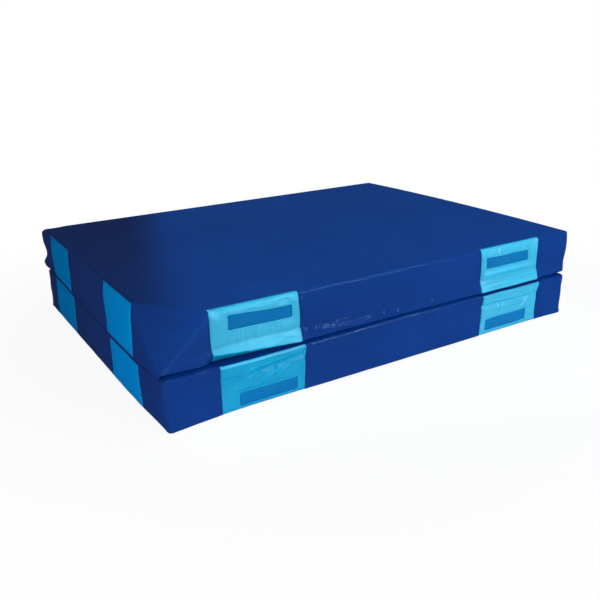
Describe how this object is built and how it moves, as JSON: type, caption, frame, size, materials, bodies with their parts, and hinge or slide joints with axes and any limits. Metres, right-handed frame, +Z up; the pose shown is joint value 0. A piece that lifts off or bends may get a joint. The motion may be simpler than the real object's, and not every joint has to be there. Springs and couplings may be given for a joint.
{
  "type": "folding gym landing mat",
  "caption": "Thick two-section foam landing mat that folds in half on a fabric hinge, with coated covers, light side panels, mesh air vents and zips.",
  "frame": {"origin": "centre of the lower section's floor face, on the floor", "axes": "+X along the fold, +Y from the open front edge to the fold, +Z up through the folded stack"},
  "size_m": [2, 1.5106, 0.4006],
  "materials": {
    "foam": "open-cell foam",
    "firm_foam": "dense foam",
    "navy_cover": "semi-gloss PVC-coated fabric",
    "base_cover": "semi-gloss PVC-coated fabric",
    "landing_cover": "matt grained PVC-coated fabric",
    "light_cover": "semi-gloss PVC-coated fabric",
    "vent_mesh": "woven mesh",
    "zip_tape": "woven tape",
    "zip_teeth": "moulded",
    "zip_metal": "nickel plated"
  },
  "bodies": {
    "lower": {"lower_foam_core": "foam", "lower_foam_topper": "firm_foam", "lower_base_sheet": "base_cover", "lower_landing_sheet": "landing_cover", "lower_front_wall": "navy_cover", "lower_left_wall": "navy_cover", "lower_right_wall": "navy_cover", "lower_back_wall": "navy_cover", "lower_left_front_corner": "navy_cover", "lower_right_front_corner": "navy_cover", "lower_front_left_panel": "light_cover", "lower_front_right_panel": "light_cover", "lower_left_front_panel": "light_cover", "lower_left_back_panel": "light_cover", "lower_right_front_panel": "light_cover", "lower_right_back_panel": "light_cover", "lower_left_vent_mesh": "vent_mesh", "lower_right_vent_mesh": "vent_mesh", "lower_zip_tapes": "zip_tape", "lower_zip_chain": "zip_teeth", "hinge_strip": "navy_cover"},
    "upper": {"upper_foam_core": "foam", "upper_foam_topper": "firm_foam", "upper_base_sheet": "base_cover", "upper_landing_sheet": "landing_cover", "upper_front_wall": "navy_cover", "upper_left_wall": "navy_cover", "upper_right_wall": "navy_cover", "upper_back_wall": "navy_cover", "upper_left_front_corner": "navy_cover", "upper_right_front_corner": "navy_cover", "upper_front_left_panel": "light_cover", "upper_front_right_panel": "light_cover", "upper_left_front_panel": "light_cover", "upper_left_back_panel": "light_cover", "upper_right_front_panel": "light_cover", "upper_right_back_panel": "light_cover", "upper_left_vent_mesh": "vent_mesh", "upper_right_vent_mesh": "vent_mesh", "upper_zip_tapes": "zip_tape", "upper_zip_chain": "zip_teeth"},
    "lower_slider": {"lower_zip_slider": "zip_metal"},
    "lower_pull": {"lower_zip_pull": "zip_metal"},
    "upper_slider": {"upper_zip_slider": "zip_metal"},
    "upper_pull": {"upper_zip_pull": "zip_metal"}
  },
  "joints": [
    {"name": "fold", "type": "hinge", "parent": "lower", "child": "upper", "pos_m": [0, 0.76, 0.2003], "axis": [-1, 0, 0], "range_deg": [0, 180], "deforming": ["hinge_strip"]},
    {"name": "lower_zip", "type": "slide", "parent": "lower", "child": "lower_slider", "axis": [-1, 0, 0], "range_m": [0, 1.671]},
    {"name": "lower_pull_turn", "type": "hinge", "parent": "lower_slider", "child": "lower_pull", "pos_m": [0.8357, 0.75345, 0.07], "axis": [0, 0, -1], "range_deg": [0, 180]},
    {"name": "upper_zip", "type": "slide", "parent": "upper", "child": "upper_slider", "axis": [1, 0, 0], "range_m": [0, 1.671]},
    {"name": "upper_pull_turn", "type": "hinge", "parent": "upper_slider", "child": "upper_pull", "pos_m": [-0.8357, 0.75345, 0.3306], "axis": [0, 0, 1], "range_deg": [0, 180]}
  ]
}
